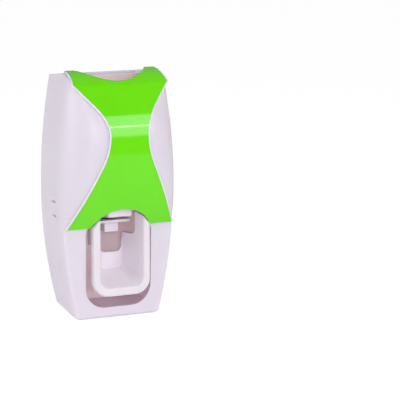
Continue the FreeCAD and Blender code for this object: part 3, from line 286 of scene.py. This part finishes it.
def plastic(name, colour, shade, rough, bump, soft_edge=0.3 * MM, specular=0.5, recess=None,
            flat=False):
    """Moulded plastic: clouded colour, uneven gloss, fine bump and softened edges.

    A recess colour is painted light and shade: it tints the hollows that an occlusion node finds, or on a
    flat plate the face that looks to the front, in the rosy tone that shaded plastic shows there. These
    places also get a faint painted glow, an emission that stands in for the light that comes through the thin
    walls.
    """
    material, tree, shader = new_material(name)
    link = tree.links.new
    texture = add(tree, "ShaderNodeGroup", node_tree=moulded_group())
    tint = add(tree, "ShaderNodeMix", data_type="RGBA")
    tint.inputs["A"].default_value = (*[c * shade for c in colour], 1)
    tint.inputs["B"].default_value = (*colour, 1)
    clear = add(tree, "ShaderNodeMapRange", From_Min=0.3, From_Max=0.6)
    gloss = add(tree, "ShaderNodeMapRange", From_Min=0.3, From_Max=0.7, To_Min=rough[0], To_Max=rough[1])
    worn = add(tree, "ShaderNodeMath", operation="MULTIPLY_ADD")
    worn.inputs[1].default_value = 0.12
    height = add(tree, "ShaderNodeBump", Strength=bump, Distance=0.05 * MM)
    edge = add(tree, "ShaderNodeBevel", samples=4, Radius=soft_edge)
    link(texture.outputs["Cloudiness"], clear.inputs["Value"])
    link(clear.outputs["Result"], tint.inputs["Factor"])
    link(texture.outputs["Cloudiness"], gloss.inputs["Value"])
    link(texture.outputs["Scuffs"], worn.inputs[0])
    link(gloss.outputs["Result"], worn.inputs[2])
    link(texture.outputs["Height"], height.inputs["Height"])
    link(edge.outputs["Normal"], height.inputs["Normal"])
    shown = tint.outputs["Result"]
    if recess:
        # Painted light and shade: a mask from occlusion, or from the facing of a flat plate, mixes in the
        # recess colour
        painted_tone = add(tree, "ShaderNodeMix", data_type="RGBA")
        painted_tone.inputs["B"].default_value = (*recess, 1)
        painted_light_mask = add(tree, "ShaderNodeMapRange", From_Min=0.15, From_Max=0.6, To_Min=1.0, To_Max=0.0)
        if flat:
            place = tree.nodes.new("ShaderNodeTexCoord")
            facing = tree.nodes.new("ShaderNodeSeparateXYZ")
            ahead = add(tree, "ShaderNodeMath", operation="ADD")
            ahead.inputs[1].default_value = 1.0
            link(place.outputs["Normal"], facing.inputs[0])
            link(facing.outputs["Y"], ahead.inputs[0])
            link(ahead.outputs["Value"], painted_light_mask.inputs["Value"])
        else:
            air = add(tree, "ShaderNodeAmbientOcclusion", samples=6, only_local=True,
                      Distance=PAINTED_LIGHT_REACH)
            link(air.outputs["AO"], painted_light_mask.inputs["Value"])
        link(painted_light_mask.outputs["Result"], painted_tone.inputs["Factor"])
        link(shown, painted_tone.inputs["A"])
        shown = painted_tone.outputs["Result"]
        # Painted glow: faint emission under the same mask, standing in for light that comes through the thin
        # walls
        glow = add(tree, "ShaderNodeMix", data_type="RGBA")
        glow.inputs["A"].default_value = (0, 0, 0, 1)
        glow.inputs["B"].default_value = (*settings("finish").glow, 1)
        link(painted_light_mask.outputs["Result"], glow.inputs["Factor"])
        link(glow.outputs["Result"], shader.inputs["Emission Color"])
        shader.inputs["Emission Strength"].default_value = 1.0
        for key, amount in SPREAD.items():
            shader.inputs[key].default_value = amount
    link(shown, shader.inputs["Base Color"])
    link(worn.outputs["Value"], shader.inputs["Roughness"])
    link(height.outputs["Normal"], shader.inputs["Normal"])
    shader.inputs["Specular IOR Level"].default_value = specular
    return material


def steel(name, colour):
    """Drawn and turned steel with fine lines and an uneven polish."""
    material, tree, shader = new_material(name)
    link = tree.links.new
    place = tree.nodes.new("ShaderNodeTexCoord")
    lines = add(tree, "ShaderNodeTexNoise", Scale=900.0, Detail=4.0)
    drawn = add(tree, "ShaderNodeMapping")
    drawn.inputs["Scale"].default_value = (0.08, 1.0, 1.0)
    gloss = add(tree, "ShaderNodeMapRange", From_Min=0.3, From_Max=0.7, To_Min=0.22, To_Max=0.42)
    tint = add(tree, "ShaderNodeMix", data_type="RGBA")
    tint.inputs["A"].default_value = (*[c * 0.8 for c in colour], 1)
    tint.inputs["B"].default_value = (*colour, 1)
    height = add(tree, "ShaderNodeBump", Strength=0.15, Distance=0.02 * MM)
    link(place.outputs["Object"], drawn.inputs["Vector"])
    link(drawn.outputs["Vector"], lines.inputs["Vector"])
    link(lines.outputs["Fac"], gloss.inputs["Value"])
    link(lines.outputs["Fac"], tint.inputs["Factor"])
    link(lines.outputs["Fac"], height.inputs["Height"])
    link(tint.outputs["Result"], shader.inputs["Base Color"])
    link(gloss.outputs["Result"], shader.inputs["Roughness"])
    link(height.outputs["Normal"], shader.inputs["Normal"])
    shader.inputs["Metallic"].default_value = 1.0
    return material


def foam(name, colour):
    """Closed-cell foam: small cells in the colour, the gloss and the height."""
    material, tree, shader = new_material(name)
    link = tree.links.new
    place = tree.nodes.new("ShaderNodeTexCoord")
    cells = add(tree, "ShaderNodeTexVoronoi", Scale=2200.0)
    tint = add(tree, "ShaderNodeMix", data_type="RGBA")
    tint.inputs["A"].default_value = (*colour, 1)
    tint.inputs["B"].default_value = (*[c * 0.72 for c in colour], 1)
    height = add(tree, "ShaderNodeBump", Strength=0.5, Distance=0.1 * MM)
    link(place.outputs["Object"], cells.inputs["Vector"])
    link(cells.outputs["Distance"], tint.inputs["Factor"])
    link(cells.outputs["Distance"], height.inputs["Height"])
    link(tint.outputs["Result"], shader.inputs["Base Color"])
    link(height.outputs["Normal"], shader.inputs["Normal"])
    shader.inputs["Roughness"].default_value = 0.9
    return material


def dress(node, material):
    """Give a node of the frame its material."""
    mesh = NODES[node].data
    mesh.materials.clear()
    mesh.materials.append(material)


def new_piece(name, mesh_data, material, body="base"):
    """Object of a finished mesh or curve, riding on a body."""
    piece = bpy.data.objects.new(name, mesh_data)
    bpy.context.scene.collection.objects.link(piece)
    mesh_data.materials.append(material)
    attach(piece, body)
    return piece


def merged(node):
    """Bmesh copy of a node of the frame, with its triangles joined."""
    bm = bmesh.new()
    bm.from_mesh(NODES[node].data)
    bmesh.ops.remove_doubles(bm, verts=bm.verts, dist=0.001 * MM)
    return bm


def made(result, kind):
    """What an operator of bmesh made of one kind: vertices, edges or faces."""
    return [item for item in result["geom"] if isinstance(item, kind)]


def islands(bm):
    """Lists of the vertices that hang together."""
    left, found = set(bm.verts), []
    while left:
        seed = left.pop()
        group, queue = [seed], [seed]
        while queue:
            for edge in queue.pop().link_edges:
                for vert in edge.verts:
                    if vert in left:
                        left.discard(vert)
                        group.append(vert)
                        queue.append(vert)
        found.append(group)
    return found


class DISPENSER_OT_finish(bpy.types.Operator):
    """Give every node of the frame its finish"""

    bl_idname = "dispenser.finish"
    bl_label = "Finish the nodes"

    def execute(self, context):
        colours = settings("finish")
        # The shell's hollows get painted light: a warmer, brighter tint and a faint painted glow
        shell = plastic("White shell plastic", colours.shell, 0.985, (0.30, 0.38), 0.06,
                        recess=colours.painted_hollow_light)
        lever = plastic("White lever plastic", colours.lever, 0.985, (0.30, 0.38), 0.06)
        panel = plastic("Lime panel plastic", colours.panel, 0.97, (0.09, 0.13), 0.015, 0.35 * MM, 0.68)
        # The rear cover's face that looks into the housing gets the painted rosy shade tone and a painted
        # glow
        back = plastic("White cover plastic", colours.shell, 0.97, (0.42, 0.5), 0.12,
                       recess=colours.inside, flat=True)
        # The inner pieces are white plastic painted in a rosy shade tone
        inside = plastic("Rosy inner plastic", colours.inside, 0.96, (0.42, 0.52), 0.08)
        pump = plastic("Undyed pump plastic", colours.pump, 0.95, (0.38, 0.5), 0.06)
        silicone = plastic("Silicone", colours.silicone, 0.94, (0.55, 0.65), 0.1)
        rubber = plastic("Black rubber", colours.rubber, 0.8, (0.6, 0.7), 0.15)
        metal = steel("Bright steel", colours.steel)
        finishes = {
            shell: ("housing",),
            lever: ("push_lever", "nozzle"),
            panel: ("front_panel",),
            back: ("rear_cover",),
            inside: ("pump_frame", "tube_socket"),
            pump: ("pump_body", "pump_cap", "piston"),
            silicone: ("inlet_valve", "outlet_valve", "inlet_grommet"),
            rubber: ("piston_seal", "nozzle_gasket"),
            metal: ("frame_screws", "return_spring", "hinge_pin", "pin_clips"),
        }
        for material, nodes in finishes.items():
            for node in nodes:
                dress(node, material)
        return {"FINISHED"}


class DISPENSER_OT_edging(bpy.types.Operator):
    """Lay a fine white bead along both side edges of the panel"""

    bl_idname = "dispenser.edging"
    bl_label = "Panel edging"

    def side_faces(self, bm, sign):
        """Faces of the panel's cut edge on one side, from its foot to its horn."""
        def upright(face):
            return abs(face.normal.y) < 0.5 and face.normal.x * sign > 0.1

        seed = max((f for f in bm.faces if upright(f)), key=lambda f: f.calc_center_median().x * sign)
        found, queue = {seed}, [seed]
        while queue:
            for edge in queue.pop().edges:
                for face in edge.link_faces:
                    if face not in found and upright(face):
                        found.add(face)
                        queue.append(face)
        return found

    def route(self, bm, sign):
        """Points of the bead, in order, beside the edge between the cut side and the face."""
        trim = settings("trim")
        sides = self.side_faces(bm, sign)
        rim = {}
        for face in sides:
            for edge in face.edges:
                fronts = [f for f in edge.link_faces if f not in sides and f.normal.z - f.normal.y > 0.1]
                if fronts:
                    for vert in edge.verts:
                        rim.setdefault(vert, []).append((edge, face.normal, fronts[0].normal))
        vert = min((v for v, uses in rim.items() if len(uses) == 1), key=lambda v: v.co.z)
        points, came = [], None
        while vert:
            out = sum((use[1] for use in rim[vert]), Vector()).normalized()
            face = sum((use[2] for use in rim[vert]), Vector()).normalized()
            points.append(vert.co + out * trim.bead_out - face * trim.bead_sunk)
            onward = [use[0] for use in rim[vert] if use[0] is not came]
            came = onward[0] if onward else None
            vert = came.other_vert(vert) if came else None
        return [point for point in points if (point - points[-1]).length > trim.bead_short]

    def execute(self, context):
        trim = settings("trim")
        curve = bpy.data.curves.new("panel_edging", "CURVE")
        curve.dimensions = "3D"
        bm = merged("front_panel")
        for sign in (-1, 1):
            points = self.route(bm, sign)
            spline = curve.splines.new("POLY")
            spline.points.add(len(points) - 1)
            for point, place in zip(spline.points, points):
                point.co = (*place, 1)
        bm.free()
        curve.bevel_depth = trim.bead
        curve.bevel_resolution = 3
        curve.use_fill_caps = True
        bright = [min(1.0, c * 1.12) for c in settings("finish").shell]
        white = plastic("White bead", bright, 0.985, (0.25, 0.32), 0.02)
        new_piece("panel_edging", curve, white)
        return {"FINISHED"}


class DISPENSER_OT_pad(bpy.types.Operator):
    """Model the foam pad with rounded corners and soft edges"""

    bl_idname = "dispenser.pad"
    bl_label = "Foam pad"

    def execute(self, context):
        low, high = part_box("adhesive_pad")
        size = high - low
        bm = bmesh.new()
        bmesh.ops.create_grid(bm, x_segments=1, y_segments=1, size=0.5)
        bmesh.ops.scale(bm, verts=bm.verts, vec=(size.x, size.z, 1))
        trim = settings("trim")
        bmesh.ops.bevel(bm, geom=bm.verts[:], offset=trim.pad_corner, segments=8, profile=0.5,
                        affect="VERTICES", material=-1)
        top = bmesh.ops.extrude_face_region(bm, geom=bm.faces[:])
        bmesh.ops.translate(bm, verts=made(top, bmesh.types.BMVert), vec=(0, 0, size.y))
        rims = [e for e in bm.edges if abs(e.verts[0].co.z - e.verts[1].co.z) < 0.01 * MM]
        bmesh.ops.bevel(bm, geom=rims, offset=trim.pad_edge, segments=3, profile=0.5,
                        affect="EDGES", material=-1)
        bmesh.ops.recalc_face_normals(bm, faces=bm.faces)
        turn = Matrix.Rotation(math.radians(90), 4, "X")
        shift = Matrix.Translation(((low.x + high.x) / 2, high.y, (low.z + high.z) / 2))
        bmesh.ops.transform(bm, matrix=shift @ turn, verts=bm.verts)
        mesh = bpy.data.meshes.new("foam_pad")
        bm.to_mesh(mesh)
        bm.free()
        pad = new_piece("foam_pad", mesh, foam("Closed-cell foam", settings("finish").foam))
        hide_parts("adhesive_pad")
        return {"FINISHED"}


class DISPENSER_OT_screws(bpy.types.Operator):
    """Model the cover screws with a cross recess in each head"""

    bl_idname = "dispenser.screws"
    bl_label = "Cover screws"

    def cross(self, bm):
        """Outline of the cross recess as one face: a square with an arm on each side."""
        trim = settings("trim")
        square = bmesh.ops.create_grid(bm, x_segments=1, y_segments=1, size=trim.drive_slot)
        middle = square["verts"][0].link_faces[0]
        faces = [middle]
        for edge in middle.edges[:]:
            out = sum((vert.co for vert in edge.verts), Vector()).normalized()
            arm = bmesh.ops.extrude_edge_only(bm, edges=[edge])
            bmesh.ops.translate(bm, verts=made(arm, bmesh.types.BMVert),
                                vec=out * (trim.drive - trim.drive_slot))
            faces += made(arm, bmesh.types.BMFace)
        return bmesh.ops.dissolve_faces(bm, faces=faces)["region"][0]

    def screw(self, bm, radius, length):
        """Screw along y with the top of its head at the origin."""
        trim = settings("trim")
        wide = radius - trim.head_edge
        bmesh.ops.create_circle(bm, cap_ends=False, segments=HEAD_SIDES, radius=wide)
        loop = bm.edges[:]
        recess = self.cross(bm)
        bmesh.ops.rotate(bm, verts=bm.verts, matrix=Matrix.Rotation(math.radians(90), 3, "X"))
        bmesh.ops.subdivide_edges(bm, edges=recess.edges[:], cuts=1)
        bmesh.ops.bridge_loops(bm, edges=loop + recess.edges[:])
        for face in bmesh.ops.extrude_discrete_faces(bm, faces=[recess])["faces"]:
            bmesh.ops.translate(bm, verts=face.verts, vec=(0, -trim.drive_deep, 0))
            bmesh.ops.scale(bm, verts=face.verts, vec=(trim.drive_taper, 1, trim.drive_taper))
        shank = trim.shank * radius
        rings = ((radius, trim.head_drop), (shank, trim.head_high), (shank, length - trim.shank_short))
        for width, depth in rings:
            ring = bmesh.ops.extrude_edge_only(bm, edges=loop)
            verts = made(ring, bmesh.types.BMVert)
            bmesh.ops.scale(bm, verts=verts, vec=(width / wide, 1, width / wide))
            for vert in verts:
                vert.co.y = -depth
            loop, wide = made(ring, bmesh.types.BMEdge), width
        bmesh.ops.contextual_create(bm, geom=loop)
        bmesh.ops.recalc_face_normals(bm, faces=bm.faces)

    def execute(self, context):
        source = merged("cover_screws")
        mesh = bpy.data.meshes.new("cross_screws")
        whole = bmesh.new()
        for group in islands(source):
            low = Vector([min(v.co[i] for v in group) for i in range(3)])
            high = Vector([max(v.co[i] for v in group) for i in range(3)])
            middle = (low + high) / 2
            bm = bmesh.new()
            self.screw(bm, (high.x - low.x) / 2, high.y - low.y)
            bmesh.ops.translate(bm, verts=bm.verts, vec=(middle.x, high.y, middle.z))
            bm.to_mesh(mesh)
            bm.free()
            whole.from_mesh(mesh)
        source.free()
        whole.to_mesh(mesh)
        whole.free()
        screws = new_piece("cross_screws", mesh, bpy.data.materials["Bright steel"])
        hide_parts("cover_screws")
        return {"FINISHED"}


class DISPENSER_OT_studio(bpy.types.Operator):
    """Set the floor, the lights, the world and the camera"""

    bl_idname = "dispenser.studio"
    bl_label = "Studio"

    def floor(self):
        """White floor that shows a faint shadow."""
        studio = settings("studio")
        bm = bmesh.new()
        bmesh.ops.create_grid(bm, x_segments=1, y_segments=1, size=0.5)
        bmesh.ops.scale(bm, verts=bm.verts, vec=(FLOOR_WIDE, FLOOR_LONG, 1))
        bmesh.ops.translate(bm, verts=bm.verts, vec=(0, FLOOR_BACK, CAD_BOX[0].z))
        mesh = bpy.data.meshes.new("floor")
        bm.to_mesh(mesh)
        bm.free()
        floor = bpy.data.objects.new("floor", mesh)
        bpy.context.scene.collection.objects.link(floor)
        material, tree, shader = new_material("Studio floor")
        tree.nodes.remove(shader)
        link = tree.links.new
        matte = add(tree, "ShaderNodeBsdfDiffuse", Color=(0.9, 0.9, 0.9, 1))
        pale = add(tree, "ShaderNodeBsdfDiffuse", Color=(0.2, 0.2, 0.2, 1))
        glow = tree.nodes.new("ShaderNodeEmission")
        path = tree.nodes.new("ShaderNodeLightPath")
        mirrored = add(tree, "ShaderNodeMapRange", To_Min=studio.floor_seen, To_Max=studio.floor_mirrored)
        shown = tree.nodes.new("ShaderNodeAddShader")
        mix = tree.nodes.new("ShaderNodeMixShader")
        rays = self.seen_rays(tree)
        link(path.outputs["Is Glossy Ray"], mirrored.inputs["Value"])
        link(mirrored.outputs["Result"], glow.inputs["Strength"])
        link(pale.outputs[0], shown.inputs[0])
        link(glow.outputs[0], shown.inputs[1])
        link(rays.outputs[0], mix.inputs[0])
        link(matte.outputs[0], mix.inputs[1])
        link(shown.outputs[0], mix.inputs[2])
        link(mix.outputs[0], tree.nodes["Material Output"].inputs["Surface"])
        mesh.materials.append(material)

    def seen_rays(self, tree):
        """Mask of the rays that show the background: camera, glossy and transmission rays."""
        path = tree.nodes.new("ShaderNodeLightPath")
        first = add(tree, "ShaderNodeMath", operation="MAXIMUM")
        both = add(tree, "ShaderNodeMath", operation="MAXIMUM")
        tree.links.new(path.outputs["Is Camera Ray"], first.inputs[0])
        tree.links.new(path.outputs["Is Glossy Ray"], first.inputs[1])
        tree.links.new(first.outputs[0], both.inputs[0])
        tree.links.new(path.outputs["Is Transmission Ray"], both.inputs[1])
        return both

    def world(self):
        """White background with an even ambient light, and a dim room for the gloss to mirror."""
        world = bpy.data.worlds.new("Studio")
        bpy.context.scene.world = world
        world.use_nodes = True
        tree = world.node_tree
        tree.nodes.clear()
        studio = settings("studio")
        light = add(tree, "ShaderNodeBackground", Strength=studio.ambient)
        white = add(tree, "ShaderNodeBackground", Strength=1.0)
        room = tree.nodes.new("ShaderNodeBackground")
        for node in (light, white, room):
            node.inputs["Color"].default_value = (1, 1, 1, 1)
        place = tree.nodes.new("ShaderNodeTexCoord")
        split = tree.nodes.new("ShaderNodeSeparateXYZ")
        behind = add(tree, "ShaderNodeMapRange", From_Min=-0.2, From_Max=0.5,
                     To_Min=studio.room_front, To_Max=studio.room_back)
        path = tree.nodes.new("ShaderNodeLightPath")
        seen = tree.nodes.new("ShaderNodeMixShader")
        mix = tree.nodes.new("ShaderNodeMixShader")
        out = tree.nodes.new("ShaderNodeOutputWorld")
        rays = self.seen_rays(tree)
        link = tree.links.new
        link(place.outputs["Generated"], split.inputs[0])
        link(split.outputs["Y"], behind.inputs["Value"])
        link(behind.outputs["Result"], room.inputs["Strength"])
        link(path.outputs["Is Glossy Ray"], seen.inputs[0])
        link(white.outputs[0], seen.inputs[1])
        link(room.outputs[0], seen.inputs[2])
        link(rays.outputs[0], mix.inputs[0])
        link(light.outputs[0], mix.inputs[1])
        link(seen.outputs[0], mix.inputs[2])
        link(mix.outputs[0], out.inputs["Surface"])

    def light(self, name, place, target, width, height, power):
        """Soft rectangular lamp that faces a target."""
        lamp = bpy.data.lights.new(name, "AREA")
        lamp.shape = "RECTANGLE"
        lamp.size, lamp.size_y = width, height
        lamp.energy = power
        item = bpy.data.objects.new(name, lamp)
        bpy.context.scene.collection.objects.link(item)
        item.location = place
        item.rotation_euler = (Vector(target) - Vector(place)).to_track_quat("-Z", "Y").to_euler()

    def camera(self):
        """Camera at its place in front of the dispenser."""
        studio = settings("studio")
        data = bpy.data.cameras.new("camera")
        data.sensor_width = 36.0
        data.lens = studio.lens
        camera = bpy.data.objects.new("camera", data)
        bpy.context.scene.collection.objects.link(camera)
        camera.location = studio.eye
        camera.rotation_euler = (math.radians(90) - studio.elevation, 0, studio.azimuth)
        bpy.context.scene.camera = camera

    def execute(self, context):
        studio = settings("studio")
        context.scene.view_settings.view_transform = "Standard"
        context.scene.cycles.max_bounces = 16
        context.scene.cycles.diffuse_bounces = 10
        self.floor()
        self.world()
        for name, (place, target, width, height) in LAMPS.items():
            self.light(name, place, target, width, height, getattr(studio, name))
        self.camera()
        return {"FINISHED"}


class DISPENSER_PT_panel(bpy.types.Panel):
    """Steps and settings of the dispenser"""

    bl_idname = "DISPENSER_PT_panel"
    bl_label = "Dispenser"
    bl_space_type = "VIEW_3D"
    bl_region_type = "UI"
    bl_category = "Dispenser"

    def draw(self, context):
        for step in STEPS:
            self.layout.operator(step.bl_idname)
        for name, group in GROUPS.items():
            box = self.layout.box()
            box.label(text=name.capitalize())
            for key in group.__annotations__:
                box.prop(settings(name), key)


GROUPS = {"finish": DISPENSER_PG_finish, "trim": DISPENSER_PG_trim, "studio": DISPENSER_PG_studio}
STEPS = (DISPENSER_OT_finish, DISPENSER_OT_edging, DISPENSER_OT_pad, DISPENSER_OT_screws, DISPENSER_OT_studio)
CLASSES = (*GROUPS.values(), *STEPS, DISPENSER_PT_panel)


def register():
    for item in CLASSES:
        bpy.utils.register_class(item)
    for name, group in GROUPS.items():
        setattr(bpy.types.Scene, f"dispenser_{name}", bpy.props.PointerProperty(type=group))


def unregister():
    for name in GROUPS:
        delattr(bpy.types.Scene, f"dispenser_{name}")
    for item in reversed(CLASSES):
        bpy.utils.unregister_class(item)


def main():
    register()
    bpy.ops.dispenser.finish()
    bpy.ops.dispenser.edging()
    bpy.ops.dispenser.pad()
    bpy.ops.dispenser.screws()
    bpy.ops.dispenser.studio()


if __name__ == "__main__":
    main()
